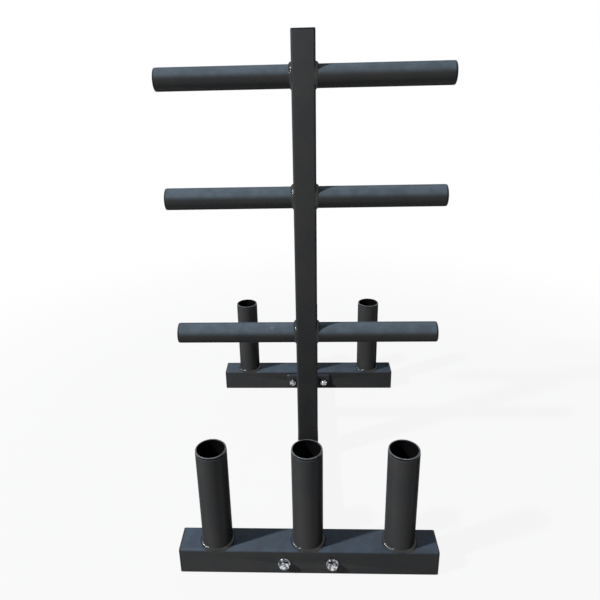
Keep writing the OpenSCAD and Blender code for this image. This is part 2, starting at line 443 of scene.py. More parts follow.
@dataclass(frozen=True)
class Bush:
    """Moulded bush in a tube's mouth: zero is the tube's end, with a flange over it and a sleeve in it.

    Attributes:
        bore: radius of its hole.
        outside: radius of the sleeve.
        sleeve: length of the sleeve.
        flange: radius of the flange.
        head: thickness of the flange.
        fillet: rounding of the flange's lower edge and of the sleeve's end inside.
        lead: rounding of the sleeve's end outside, which goes in first.
        corner: rounding between the sleeve and the flange.
        rim: rounding of the flange's upper edge.
        mouth: rounding of the hole's upper edge.
    """

    bore: float = 26.85 * MM
    outside: float = 28.05 * MM
    sleeve: float = 40.5 * MM
    flange: float = 29.65 * MM
    head: float = 4.5 * MM
    fillet: float = 0.3 * MM
    lead: float = 0.5 * MM
    corner: float = 0.15 * MM
    rim: float = 1.2 * MM
    mouth: float = 0.4 * MM

    def shell(self) -> Shell:
        """Turn the section, with the flange's upper edge well rounded.

        Returns:
            The closed skin.
        """
        return turned(
            [
                (self.bore, -self.sleeve, self.fillet),
                (self.outside, -self.sleeve, self.lead),
                (self.outside, 0, self.corner),
                (self.flange, 0, self.fillet),
                (self.flange, self.head, self.rim),
                (self.bore, self.head, self.mouth),
            ]
        )


@dataclass(frozen=True)
class Washer:
    """Stamped washer on its own Z axis, from zero, with the punch's rounding on its upper edges."""

    outer: float = 12 * MM
    inner: float = 6.5 * MM
    thickness: float = 2.5 * MM
    lower_edge: float = 0.12 * MM
    outer_edge: float = 0.55 * MM
    inner_edge: float = 0.3 * MM

    def shell(self) -> Shell:
        """Turn the section, rounded more above than below.

        Returns:
            The closed skin.
        """
        section = [
            (self.inner, 0, self.lower_edge),
            (self.outer, 0, self.lower_edge),
            (self.outer, self.thickness, self.outer_edge),
            (self.inner, self.thickness, self.inner_edge),
        ]
        return turned(section, turns=96, reach=0.3 * MM)


@dataclass(frozen=True)
class Plug:
    """Moulded end plug: zero is the tube's end, with the head above it and the finned sleeve below.

    Attributes:
        half: half the tube's width.
        wall: the tube's wall.
        head: height of the head in its middle.
        crown: how far the head's face rises from its rim to its middle.
        edge: rounding of the head's rim.
        inset: how far the head stays inside the tube's outline.
        sleeve: length of the sleeve.
        sleeve_wall: thickness of the sleeve.
        fins: number of fins round the sleeve.
        fin_height: how far a fin stands out.
        fin_thickness: thickness of a fin.
        fillet: rounding of the fins and of the head's lower edge.
        fit: gap between a fin and the tube.
        gate: radius of the dimple that the mould's gate leaves.
        gate_depth: depth of that dimple.
    """

    half: float
    wall: float
    head: float = 4 * MM
    crown: float = 0.7 * MM
    edge: float = 1.2 * MM
    inset: float = 0.2 * MM
    sleeve: float = 18 * MM
    sleeve_wall: float = 2 * MM
    fins: int = 3
    fin_height: float = 0.6 * MM
    fin_thickness: float = 1.2 * MM
    fillet: float = 0.15 * MM
    fit: float = 0.1 * MM
    gate: float = 1.6 * MM
    gate_depth: float = 0.18 * MM

    def profile(self) -> Array:
        """Draw the section from the axis under the head, round the sleeve and its fins, to the rim.

        Returns:
            Points of radius and height. The last one is the inner end of the rounded rim, from
            which the crowned face runs on.
        """
        rim = self.half - self.inset
        face = self.head - self.crown
        fin = self.half - self.wall - self.fit
        sleeve = fin - self.fin_height
        inside = sleeve - self.sleeve_wall
        lip = [(0, 0, 0), (inside, 0, 0), (inside, -self.sleeve, 0), (sleeve, -self.sleeve, self.fillet)]
        middles = -np.arange(self.fins, 0, -1) * self.sleeve / (self.fins + 1)
        low, high = middles - self.fin_thickness / 2, middles + self.fin_thickness / 2
        reach = np.tile([sleeve, fin, fin, sleeve], self.fins)
        level = np.column_stack([low, low, high, high]).ravel()
        teeth = np.column_stack([reach, level, np.full(len(level), self.fillet)])
        head = [(sleeve, 0, self.fillet), (rim, 0, self.fillet), (rim, face, self.edge), (0, face, 0)]
        section = np.vstack([lip, teeth, head])
        outline = filleted(section[:, :2], section[:, 2])
        centre = (outline[:, 0] < SAME_POINT) & (outline[:, 1] > 0)
        # The last two points brace the way back to the axis, which the crowned face takes instead.
        return braced(outline[~centre])[:-2]

    def rise(self, level: Array, flat: Array) -> Array:
        """Work out the face's height over its rim.

        It is the crown's height times the level, less a dimple at the gate that falls off with the
        fourth power of the distance from the middle.

        Args:
            level: one in the middle, and falling to zero at the rim.
            flat: place on the face, from its middle.

        Returns:
            The height at each place.
        """
        distance = np.linalg.norm(flat, axis=-1) / self.gate
        return self.crown * level - self.gate_depth * np.exp(-(distance**4))

    def fractions(self) -> Array:
        """Space the face's rings, closer together at the gate.

        Returns:
            Their shares of the rim's radius, from the first one inside the rim to the middle.
        """
        wide = np.linspace(1, 0.14, 14)[1:]
        close = np.linspace(0.12, 0, 9)
        return np.concatenate([wide, close])


@dataclass(frozen=True)
class RoundPlug(Plug):
    """Plug for a round tube."""

    def shell(self) -> Shell:
        """Turn the section, and close it with the crowned face.

        Returns:
            The closed skin.
        """
        profile = self.profile()
        share = self.fractions()
        radius = profile[-1, 0] * share
        flat = np.column_stack([radius, np.zeros(len(share))])
        height = profile[-1, 1] + self.rise(1 - share**2, flat)
        return revolved(np.vstack([profile, np.column_stack([radius, height])]), closed=False)


@dataclass(frozen=True)
class SquarePlug(Plug):
    """Plug for a square tube, with the tube's corner radius and the least one of its own parts."""

    corner: float = 5 * MM
    least_corner: float = 0.5 * MM

    def shell(self) -> Shell:
        """Lay rings of the section as rounded squares, and close them with the crowned face.

        The deeper a ring lies inside the tube's outline, the tighter are its corners.

        Returns:
            The closed skin.
        """
        profile = self.profile()
        depth = self.half - profile[:, 0]
        radius = np.minimum(np.maximum(self.corner - depth, self.least_corner), profile[:, 0])
        share = self.fractions()
        rim_span = profile[-1, 0] - radius[-1]
        spans = np.concatenate([profile[:, 0] - radius, rim_span * share])
        radii = np.concatenate([radius, radius[-1] * share])
        heights = np.concatenate([profile[:, 1], np.full(len(share), profile[-1, 1])])
        grid = square_rings(spans, radii, heights)
        face = grid[len(profile) :]
        across = (face[..., :2] / profile[-1, 0]) ** 2
        face[..., 2] += self.rise((1 - across[..., 0]) * (1 - across[..., 1]), face[..., :2])
        return lattice(grid, rows_close=False)


@dataclass(frozen=True)
class Bead:
    """Rippled weld bead in the corner between an upright outline and the face that it stands on.

    The face belongs to a square tube that runs along X. Its half width lies along Y, and past the
    flat it falls away with the tube's corner, where the bead runs down over the gap.

    Attributes:
        leg: how far the bead reaches up the upright and out on the face.
        half: half the face's width.
        corner: radius of the face's corners.
        margin: how far the bead stays inside the half width.
        wander: how far its toes waver.
        crown: how far it stands out of the line between its toes.
        crown_change: share by which the crown wavers.
        pitch: distance between two ripples.
        pitch_change: share of a pitch by which the ripples waver.
        ripple: height of a ripple.
        ripple_power: power that makes the ripples' tops broad.
        ripple_level: share of a ripple that lies under the plain crown.
        bow: share of a pitch by which the ripples lag at the toes.
        lean: how much leaner it is on the side that looks down X.
        taper: length of an open bead's end, in legs.
        end_size: size of an open bead at its very end, as a share.
        sunk: how deep the toes lie in the metal.
        root: how deep its hidden inner edge lies in the upright.
        spacing: distance between two stations.
        across: points from toe to toe.
    """

    leg: float
    half: float = math.inf
    corner: float = 0.0
    margin: float = 0.4 * MM
    wander: float = 0.5 * MM
    crown: float = 0.9 * MM
    crown_change: float = 0.3
    pitch: float = 2.1 * MM
    pitch_change: float = 0.35
    ripple: float = 0.4 * MM
    ripple_power: float = 0.8
    ripple_level: float = 0.6
    bow: float = 0.6
    lean: float = 0.0
    taper: float = 1.2
    end_size: float = 0.06
    sunk: float = 0.06 * MM
    root: float = 1.2 * MM
    spacing: float = 0.33 * MM
    across: int = 12

    def ground(self, over: Array) -> Array:
        """Work out the face's height.

        It is zero on the flat, and sqrt(r^2 - d^2) - r at the distance d past the flat, where r is
        the corner's radius.

        Args:
            over: places along Y.

        Returns:
            The height at each place.
        """
        if math.isinf(self.half):
            return np.zeros_like(over)
        past = np.clip(np.abs(over) - (self.half - self.corner), 0, self.corner)
        return np.sqrt(self.corner**2 - past**2) - self.corner

    def fullness(self, seam: Seam) -> Array:
        """Work out the bead's size as a share.

        A closed bead is 1 - lean (1 - n) / 2, where n is the normal's part along X. An open one is
        full, with an ellipse's quarter at each end.

        Args:
            seam: the stations.

        Returns:
            The share at each station.
        """
        if seam.closed:
            return 1 - self.lean * (1 - seam.normals[:, 0]) / 2
        from_end = np.minimum(seam.share, 1 - seam.share) * seam.length / (self.taper * self.leg)
        return np.maximum(np.sqrt(1 - (1 - np.clip(from_end, 0, 1)) ** 2), self.end_size)

    def toes(self, seam: Seam, full: Array, chance: np.random.Generator) -> tuple[Array, Array]:
        """Lay the toes: one on the upright, one on the face, each a wavering leg from the corner.

        Args:
            seam: the stations.
            full: the bead's size at each of them.
            chance: where the wavering comes from.

        Returns:
            The upper and the lower toe, each of shape (stations, 3).
        """
        rise = (self.leg + self.wander * waver(seam.share, chance)) * full
        run = (self.leg + self.wander * waver(seam.share, chance)) * full
        top = np.column_stack([seam.points - seam.normals * self.sunk, rise])
        foot = seam.points + seam.normals * run[:, None]
        edge = self.half - self.margin
        foot[:, 1] = np.clip(foot[:, 1], -edge, edge)
        return top, np.column_stack([foot, self.ground(foot[:, 1]) - self.sunk])

    def swell(self, seam: Seam, full: Array, t: Array, chance: np.random.Generator) -> Array:
        """Work out how far the skin stands out of the line between the toes.

        It is a crown of 4 t (1 - t) with ripples on it. The ripples are |sin| of a phase that runs
        along the seam and lags at both toes, which bends them into crescents.

        Args:
            seam: the stations.
            full: the bead's size at each of them.
            t: shares of the way from toe to toe.
            chance: where the wavering comes from.

        Returns:
            The distances, of shape (stations, shares).
        """
        ripples = round(seam.length / self.pitch)
        phase = ripples * seam.share + self.pitch_change * waver(seam.share, chance, waves=14)
        lag = self.bow * (2 * t - 1) ** 2
        scales = np.abs(np.sin(math.pi * (phase[:, None] - lag))) ** self.ripple_power
        crown = self.crown * (1 + self.crown_change * waver(seam.share, chance))
        bulge = crown[:, None] * 4 * t * (1 - t)
        scales = self.ripple * (scales - self.ripple_level) * np.sqrt(4 * t * (1 - t))
        return full[:, None] * (bulge + scales)

    def shell(self, outline: Array, seed: int, closed: bool = True) -> Shell:
        """Sweep the bead's section along an outline.

        The section is the line between the toes, swollen at right angles to it, and closed by one
        hidden point in the upright.

        Args:
            outline: outline of the upright piece, in counterclockwise order.
            seed: number that the bead's wavering follows from.
            closed: whether the bead goes all the way round, or ends at the outline's ends.

        Returns:
            The closed bead.
        """
        chance = np.random.default_rng(seed)
        seam = stations(outline, self.spacing, closed)
        full = self.fullness(seam)
        top, low = self.toes(seam, full, chance)
        chord = low - top
        outward = (chord[:, :2] * seam.normals).sum(axis=1)
        facing = unit(np.column_stack([seam.normals * -chord[:, 2:], outward]))
        t = np.linspace(0, 1, self.across)
        swell = self.swell(seam, full, t, chance)
        arc = top[:, None] + chord[:, None] * t[:, None] + facing[:, None] * swell[..., None]
        inner = seam.points - seam.normals * self.root * full[:, None]
        root = np.column_stack([inner, self.ground(inner[:, 1])])
        grid = np.concatenate([arc, root[:, None]], axis=1)
        if not closed:
            ends = np.repeat(grid[[0, -1]].mean(axis=1, keepdims=True), grid.shape[1], axis=1)
            grid = np.concatenate([ends[:1], grid, ends[1:]])
        return lattice(grid, rows_close=closed)


@dataclass(frozen=True)
class Hexagon:
    """Six flats turned about Z, whose corners a turning tool has cut by a small share.

    Attributes:
        flats: width across the flats.
        cut: share of the corners' radius that is left.
        face: share of the flats' width that the flat round face takes.
        slope: drop of the chamfer for each length outwards.
        columns: points of a ring.
    """

    flats: float = 18 * MM
    cut: float = 0.985
    face: float = 0.95
    slope: float = math.tan(math.radians(30))
    columns: int = 120

    def angles(self) -> Array:
        """Return the directions of the columns."""
        return np.linspace(0, TURN, self.columns, endpoint=False)

    def radius(self) -> Array:
        """Return the outline: half the flats over the cosine of the angle from a flat's middle."""
        outline = self.flats / 2 / np.cos(np.mod(self.angles(), TURN / 6) - TURN / 12)
        return np.minimum(outline, self.cut * self.flats / math.sqrt(3))

    def face_radius(self) -> float:
        """Return the radius of the flat face, where the chamfer starts."""
        return self.face * self.flats / 2

    def chamfer(self) -> Array:
        """Return how far the chamfer's cone has dropped where it meets the outline."""
        return (self.radius() - self.face_radius()) * self.slope

    def grid(self, rows: Sequence[tuple[Array | float, Array | float]]) -> Array:
        """Stack rings.

        Args:
            rows: radius and height of each ring, either of which may differ round the ring.

        Returns:
            A grid of points of shape (rings, columns, 3).
        """
        radius = np.stack([np.broadcast_to(row[0], self.columns) for row in rows])
        height = np.stack([np.broadcast_to(row[1], self.columns) for row in rows])
        return polar(radius, self.angles(), height)


@dataclass(frozen=True)
class HexBolt:
    """Hexagon bolt on its own Z axis, with a cupped head above zero and the shank below it.

    Attributes:
        shank: length under the head.
        radius: radius of the shank.
        pitch: rise of the thread in a turn.
        threaded: length of the thread.
        depth: depth of the thread.
        crest: share of half a pitch that a crest, or a root, lies flat.
        runout: turns over which the thread fades out.
        pitch_rows: rings in a pitch.
        tip: depth of the tip's chamfer, in thread depths.
        tip_slope: how fast that chamfer widens.
        fillet: rounding under the head.
        brace: how far a ring that keeps a face flat lies from its edge.
        collar: height of the round face under the head.
        head: height of the head.
        cup: radius of the hollow in the head.
        cup_depth: depth of the hollow.
        cup_edge: rings of the hollow's edge, as distances out of its radius and shares of its depth.
        hexagon: the head's outline.
    """

    shank: float = 85 * MM
    radius: float = 6 * MM
    pitch: float = 1.75 * MM
    threaded: float = 30 * MM
    depth: float = 1.05 * MM
    crest: float = 0.12
    runout: float = 1.5
    pitch_rows: int = 10
    tip: float = 1.1
    tip_slope: float = 1.2
    fillet: float = 0.4 * MM
    brace: float = 0.5 * MM
    collar: float = 0.5 * MM
    head: float = 7.5 * MM
    cup: float = 5.7 * MM
    cup_depth: float = 1.0 * MM
    cup_edge: tuple[tuple[float, float], ...] = (
        (0.7 * MM, 0.0),
        (0.25 * MM, 0.08),
        (0.0, 0.25),
        (-0.35 * MM, 0.75),
        (-0.9 * MM, 0.95),
    )
    hexagon: Hexagon = field(default_factory=Hexagon)

    def tip_radius(self) -> float:
        """Return the radius of the chamfered end."""
        return self.radius - self.depth * self.tip

    def thread(self) -> Array:
        """Lay the thread's rows.

        The phase is the height over the pitch, less the share of the turn. The radius drops by the
        depth in a flattened V of that phase, and fades out where the thread ends.

        Returns:
            A grid of points of shape (rows, columns, 3).
        """
        rows = round(self.threaded / self.pitch) * self.pitch_rows
        height = np.linspace(0, self.threaded, rows)[:, None]
        angle = self.hexagon.angles()
        phase = np.mod(height / self.pitch - angle / TURN, 1)
        slant = (1 - np.abs(2 * phase - 1) - self.crest) / (1 - 2 * self.crest)
        fade = np.clip((self.threaded - height) / (self.runout * self.pitch), 0, 1)
        groove = self.radius - self.depth * np.clip(slant, 0, 1) * fade
        radius = np.minimum(groove, self.tip_radius() + height * self.tip_slope)
        return polar(radius, angle, height - self.shank)

    def shell(self) -> Shell:
        """Join the shank's end, its thread, its plain stretch and the head.

        Returns:
            The closed skin.
        """
        hexagon = self.hexagon
        face = hexagon.face_radius()
        bottom = self.head - self.cup_depth
        # Halfway round, a quarter circle lies about 0.3 of its radius off both sides of its corner.
        bend = 0.3 * self.fillet
        end = [(0.0, -self.shank), (self.tip_radius(), -self.shank)]
        neck = [
            (self.radius, self.threaded - self.shank + self.brace),
            (self.radius, -self.fillet - self.brace),
            (self.radius, -self.fillet),
            (self.radius + bend, -bend),
            (self.radius + self.fillet, 0.0),
        ]
        outside = [
            (face, 0.0),
            (face, self.collar),
            (hexagon.radius(), self.collar),
            (hexagon.radius(), self.head - hexagon.chamfer()),
            (face, self.head),
            (face - self.brace, self.head),
        ]
        cup = [(self.cup + out, self.head - share * self.cup_depth) for out, share in self.cup_edge]
        cup += [(self.cup / 2, bottom), (0.0, bottom)]
        top = hexagon.grid(neck + outside + cup)
        return lattice(np.concatenate([hexagon.grid(end), self.thread(), top]), rows_close=False)


@dataclass(frozen=True)
class HexNut:
    """Hexagon nut on its own Z axis, from zero, with both faces chamfered and its mouths countersunk."""

    height: float = 10 * MM
    bore: float = 6.1 * MM
    mouth: float = 0.6 * MM
    hexagon: Hexagon = field(default_factory=Hexagon)

    def shell(self) -> Shell:
        """Go once round the section: up the outside and down the bore.

        Returns:
            The closed skin.
        """
        hexagon = self.hexagon
        section = [
            (self.bore + self.mouth, 0.0),
            (hexagon.face_radius(), 0.0),
            (hexagon.radius(), hexagon.chamfer()),
            (hexagon.radius(), self.height - hexagon.chamfer()),
            (hexagon.face_radius(), self.height),
            (self.bore + self.mouth, self.height),
            (self.bore, self.height - self.mouth),
            (self.bore, self.mouth),
        ]
        return lattice(hexagon.grid(section), rows_close=True)


class Board:
    """Node tree of one material, with short calls for its nodes."""

    def __init__(self, name: str) -> None:
        """Start a material that holds a Principled shader and the object's coordinates.

        Args:
            name: the material's name.
        """
        self.material = bpy.data.materials.new(name)
        self.material.use_nodes = True
        self.tree = self.material.node_tree
        self.shader = self.tree.nodes["Principled BSDF"]
        self.place = self.tree.nodes.new("ShaderNodeTexCoord").outputs["Object"]

    def add(self, kind: str, **settings: object) -> bpy.types.Node:
        """Add a node.

        Args:
            kind: its type.
            settings: its properties.

        Returns:
            The node.
        """
        node = self.tree.nodes.new(kind)
        for key, value in settings.items():
            setattr(node, key, value)
        return node

    def feed(self, socket: Socket, source: object) -> None:
        """Link a socket to another one, or set its value.

        Args:
            socket: the input.
            source: another node's output, or a value.
        """
        if isinstance(source, Socket):
            self.tree.links.new(source, socket)
        else:
            socket.default_value = source

    def noise(self, size: float, detail: float, stretch: Point = (1, 1, 1)) -> Socket:
        """Add a noise.

        Args:
            size: how large its features are, in metres.
            detail: how many finer noises lie over the first.
            stretch: how many times longer the features are along each axis.

        Returns:
            The noise, between zero and one.
        """
        spread = self.add("ShaderNodeMapping")
        spread.inputs["Scale"].default_value = [1 / (size * way) for way in stretch]
        self.feed(spread.inputs["Vector"], self.place)
        noise = self.add("ShaderNodeTexNoise")
        for name, value in (("Scale", 1.0), ("Detail", detail), ("Roughness", 0.55)):
            noise.inputs[name].default_value = value
        self.feed(noise.inputs["Vector"], spread.outputs["Vector"])
        return noise.outputs["Fac"]

    def remap(self, source: Socket, between: Range, values: Range = (0.0, 1.0)) -> Socket:
        """Carry one range of a value over to another one, smoothly and clamped.

        Args:
            source: the value.
            between: the range of it that counts.
            values: the results at the two ends of that range.

        Returns:
            The result.
        """
        node = self.add("ShaderNodeMapRange", interpolation_type="SMOOTHSTEP")
        for name, value in zip(("From Min", "From Max", "To Min", "To Max"), between + values):
            node.inputs[name].default_value = value
        self.feed(node.inputs["Value"], source)
        return node.outputs["Result"]

    def patches(self, size: float, detail: float, between: Range, values: Range = (0.0, 1.0)) -> Socket:
        """Add a noise and remap it into patches with soft edges, as noise and remap say."""
        return self.remap(self.noise(size, detail), between, values)

    def combine(self, operation: str, first: object, second: object) -> Socket:
        """Add a Math node.

        Args:
            operation: what it does.
            first: an output or a number.
            second: an output or a number.

        Returns:
            The result.
        """
        node = self.add("ShaderNodeMath", operation=operation)
        self.feed(node.inputs[0], first)
        self.feed(node.inputs[1], second)
        return node.outputs[0]

    def blend(self, share: Socket, first: object, second: object) -> Socket:
        """Blend two colours.

        Args:
            share: how much of the second one shows.
            first: an output or a colour.
            second: an output or a colour.

        Returns:
            The blended colour.
        """
        node = self.add("ShaderNodeMix", data_type="RGBA")
        self.feed(node.inputs["Factor"], share)
        # Of the sockets named A, B and Result, numbers 6, 7 and 2 are the ones for colours.
        for socket, colour in ((node.inputs[6], first), (node.inputs[7], second)):
            self.feed(socket, (*colour, 1.0) if isinstance(colour, tuple) else colour)
        return node.outputs[2]

    def upwards(self) -> Socket:
        """Work out how far the surface faces up.

        Returns:
            The normal's part along Z: one where the surface lies level.
        """
        facing = self.add("ShaderNodeSeparateXYZ")
        self.feed(facing.inputs[0], self.add("ShaderNodeNewGeometry").outputs["Normal"])
        return facing.outputs["Z"]

    def bump(self, height: Socket, depth: float, under: Socket | None = None) -> Socket:
        """Add a bump.

        Args:
            height: its relief, between zero and one.
            depth: how deep that is, in metres.
            under: another bump that it lies on.

        Returns:
            The bumped normal.
        """
        node = self.add("ShaderNodeBump")
        node.inputs["Strength"].default_value = 1.0
        node.inputs["Distance"].default_value = depth
        self.feed(node.inputs["Height"], height)
        if under is not None:
            self.feed(node.inputs["Normal"], under)
        return node.outputs["Normal"]


@dataclass(frozen=True)
class Chip:
    """A ragged spot where the coat is knocked off, at a place on the object."""

    place: Point
    radius: float
    ragged: float = 1.6 * MM
    fade: Range = (0.9 * MM, 0.6 * MM)

    def bare(self, board: Board) -> Socket:
        """Mask the spot.

        The distance from its place, made ragged by a noise, fades out a little past its radius.

        Args:
            board: the coat's nodes.

        Returns:
            One where the spot is bare, and zero round it.
        """
        away = board.add("ShaderNodeVectorMath", operation="DISTANCE")
        board.feed(away.inputs[0], board.place)
        board.feed(away.inputs[1], self.place)
        stray = board.combine("MULTIPLY", board.noise(size=1.1 * MM, detail=3.0), self.ragged)
        distance = board.combine("ADD", away.outputs["Value"], stray)
        outer, inner = self.fade
        return board.remap(distance, (self.radius + outer, self.radius + inner))


@dataclass(frozen=True)
class PowderCoat:
    """Charcoal powder coat: orange peel, a faint change of tone, upward faces dusted and lit by a painted
    sky sheen, and a few chips.
    """

    name: str = "charcoal_coat"
    warm: Colour = (0.0356, 0.0352, 0.0348)
    cool: Colour = (0.0300, 0.0314, 0.0334)
    # Blue-grey on upward faces: partly settled dust, partly a painted reflection of a blue sky.
    sky_sheen_and_dust: Colour = (0.078, 0.115, 0.168)
    primer: Colour = (0.42, 0.42, 0.41)
    specular: float = 0.075
    edge_specular: float = 0.04
    roughness: Range = (0.28, 0.38)
    dust_roughness: float = 0.3
    peel: float = 1.6 * MM
    peel_depth: float = 0.028 * MM
    grit_depth: float = 0.004 * MM
    sky_sheen_and_dust_share: Range = (0.28, 0.44)
    chips: tuple[Chip, ...] = ()

    def set_gloss(self, board: Board) -> None:
        """Let the specular level fall by edge_specular where the surface is seen edge on.

        Args:
            board: the coat's nodes.
        """
        level = board.shader.inputs["Specular IOR Level"]
        edge_on = board.add("ShaderNodeLayerWeight").outputs["Facing"]
        values = (self.specular, self.specular * self.edge_specular)
        # The socket's own value stands where an export drops the link.
        board.feed(level, self.specular)
        board.feed(level, board.remap(edge_on, between=(0.28, 0.6), values=values))

    def mask_sky_sheen_and_dust(self, board: Board) -> Socket:
        """Mask the upward faces' blue-grey, partly dusted and partly a painted sky sheen: a patchy veil
        and specks.

        Args:
            board: the coat's nodes.

        Returns:
            How much of that blue-grey shows.
        """
        # Whatever faces up is lightened towards the blue-grey: partly dust, partly painted sky sheen.
        upward = board.remap(board.upwards(), between=(0.02, 0.55))
        veil = board.patches(size=26 * MM, detail=5.0, between=(0.36, 0.66), values=self.sky_sheen_and_dust_share)
        specks = board.patches(size=1.5 * MM, detail=2.0, between=(0.62, 0.74), values=(0.0, 0.16))
        return board.combine("MULTIPLY", upward, board.combine("ADD", veil, specks))

    def build(self) -> Material:
        """Make the coat.

        Returns:
            The material.
        """
        board = Board(self.name)
        shader = board.shader
        self.set_gloss(board)
        sky_sheen_and_dust_mask = self.mask_sky_sheen_and_dust(board)
        tone = board.patches(size=70 * MM, detail=5.0, between=(0.36, 0.64))
        colour = board.blend(sky_sheen_and_dust_mask, board.blend(tone, self.warm, self.cool), self.sky_sheen_and_dust)
        for chip in self.chips:
            colour = board.blend(chip.bare(board), colour, self.primer)
        board.feed(shader.inputs["Base Color"], colour)
        roughness = board.patches(size=9 * MM, detail=4.0, between=(0.3, 0.7), values=self.roughness)
        roughened = board.combine("MULTIPLY", sky_sheen_and_dust_mask, self.dust_roughness)
        board.feed(shader.inputs["Roughness"], board.combine("ADD", roughness, roughened))
        grit = board.bump(board.noise(size=0.35 * MM, detail=1.0), self.grit_depth)
        peel = board.bump(board.noise(size=self.peel, detail=1.0), self.peel_depth, grit)
        board.feed(shader.inputs["Normal"], peel)
        return board.material


@dataclass(frozen=True)
class MouldedPlastic:
    """Black moulded plastic: fine grain, slow waves from cooling, light rubbing, and a rim lightened
    partly by scuffs and partly by a painted highlight.
    """

    name: str = "black_moulding"
    fresh: Colour = (0.0095, 0.0097, 0.0102)
    rubbed: Colour = (0.034, 0.034, 0.035)
    scuffs_and_rim_highlight: Colour = (0.034, 0.034, 0.035)
    scuffs_and_highlight_on_top: float = 1.0
    specular: float = 0.16
    roughness: Range = (0.32, 0.46)
    wave_depth: float = 0.05 * MM
    grain_depth: float = 0.006 * MM

    def mask_scuffs_and_rim_highlight(self, board: Board) -> Socket:
        """Mask the rim's light grey, partly scuffs and partly a painted highlight: patchy, on the
        rounding of a rim, and by scuffs_and_highlight_on_top on its level face.

        Args:
            board: the plastic's nodes.

        Returns:
            How much of that light grey shows.
        """
        # The upward rounding of a rim turns light grey: partly scuffs, partly a painted highlight.
        upward = board.upwards()
        rim = board.remap(upward, between=(0.35, 0.8))
        top = board.remap(upward, between=(0.88, 0.97), values=(1.0, self.scuffs_and_highlight_on_top))
        scuffs = board.patches(size=2.5 * MM, detail=4.0, between=(0.3, 0.6), values=(0.5, 1.0))
        return board.combine("MULTIPLY", board.combine("MULTIPLY", rim, top), scuffs)

    def build(self) -> Material:
        """Make the plastic.

        Returns:
            The material.
        """
        board = Board(self.name)
        shader = board.shader
        board.feed(shader.inputs["Specular IOR Level"], self.specular)
        streaks = board.noise(size=1.2 * MM, detail=4.0, stretch=(1, 1, 12))
        rub = board.remap(streaks, between=(0.58, 0.8), values=(0.0, 0.55))
        colour = board.blend(rub, self.fresh, self.rubbed)
        board.feed(shader.inputs["Base Color"], board.blend(self.mask_scuffs_and_rim_highlight(board), colour, self.scuffs_and_rim_highlight))
        roughness = board.patches(size=5 * MM, detail=3.0, between=(0.3, 0.7), values=self.roughness)
        board.feed(shader.inputs["Roughness"], roughness)
        waves = board.bump(board.noise(size=8 * MM, detail=1.0), self.wave_depth)
        grain = board.bump(board.noise(size=0.3 * MM, detail=1.0), self.grain_depth, waves)
        board.feed(shader.inputs["Normal"], grain)
        return board.material


@dataclass(frozen=True)
class ZincPlate:
    """Bright zinc plating: a cool metal with straw bloom, dark lustreless patches, cloudy gloss and
    scratches. The dark patches are partly lustreless plating and partly painted dark reflections.
    """

    name: str = "bright_zinc"
    bright: Colour = (0.66, 0.69, 0.73)
    bloom: Colour = (0.56, 0.55, 0.50)
    dull_and_dark_reflection: Colour = (0.075, 0.08, 0.09)
    roughness: Range = (0.13, 0.33)
    pit_depth: float = 0.045 * MM
    scratch_depth: float = 0.004 * MM

    def build(self) -> Material:
        """Make the plating.

        Returns:
            The material.
        """
        board = Board(self.name)
        shader = board.shader
        board.feed(shader.inputs["Metallic"], 1.0)
        straw = board.patches(size=6 * MM, detail=3.0, between=(0.45, 0.75), values=(0.0, 0.5))
        # Dark patches: partly lustreless plating, partly painted dark reflection.
        dull_and_dark_reflection_patches = board.patches(size=4.2 * MM, detail=3.0, between=(0.44, 0.58), values=(0.0, 0.9))
        colour = board.blend(dull_and_dark_reflection_patches, board.blend(straw, self.bright, self.bloom), self.dull_and_dark_reflection)
        board.feed(shader.inputs["Base Color"], colour)
        cloudy = board.patches(size=1.8 * MM, detail=4.0, between=(0.35, 0.7), values=self.roughness)
        board.feed(shader.inputs["Roughness"], cloudy)
        pits = board.bump(board.noise(size=1.1 * MM, detail=3.0), self.pit_depth)
        scratches = board.noise(size=0.25 * MM, detail=2.0, stretch=(14, 1, 1))
        board.feed(shader.inputs["Normal"], board.bump(scratches, self.scratch_depth, pits))
        return board.material


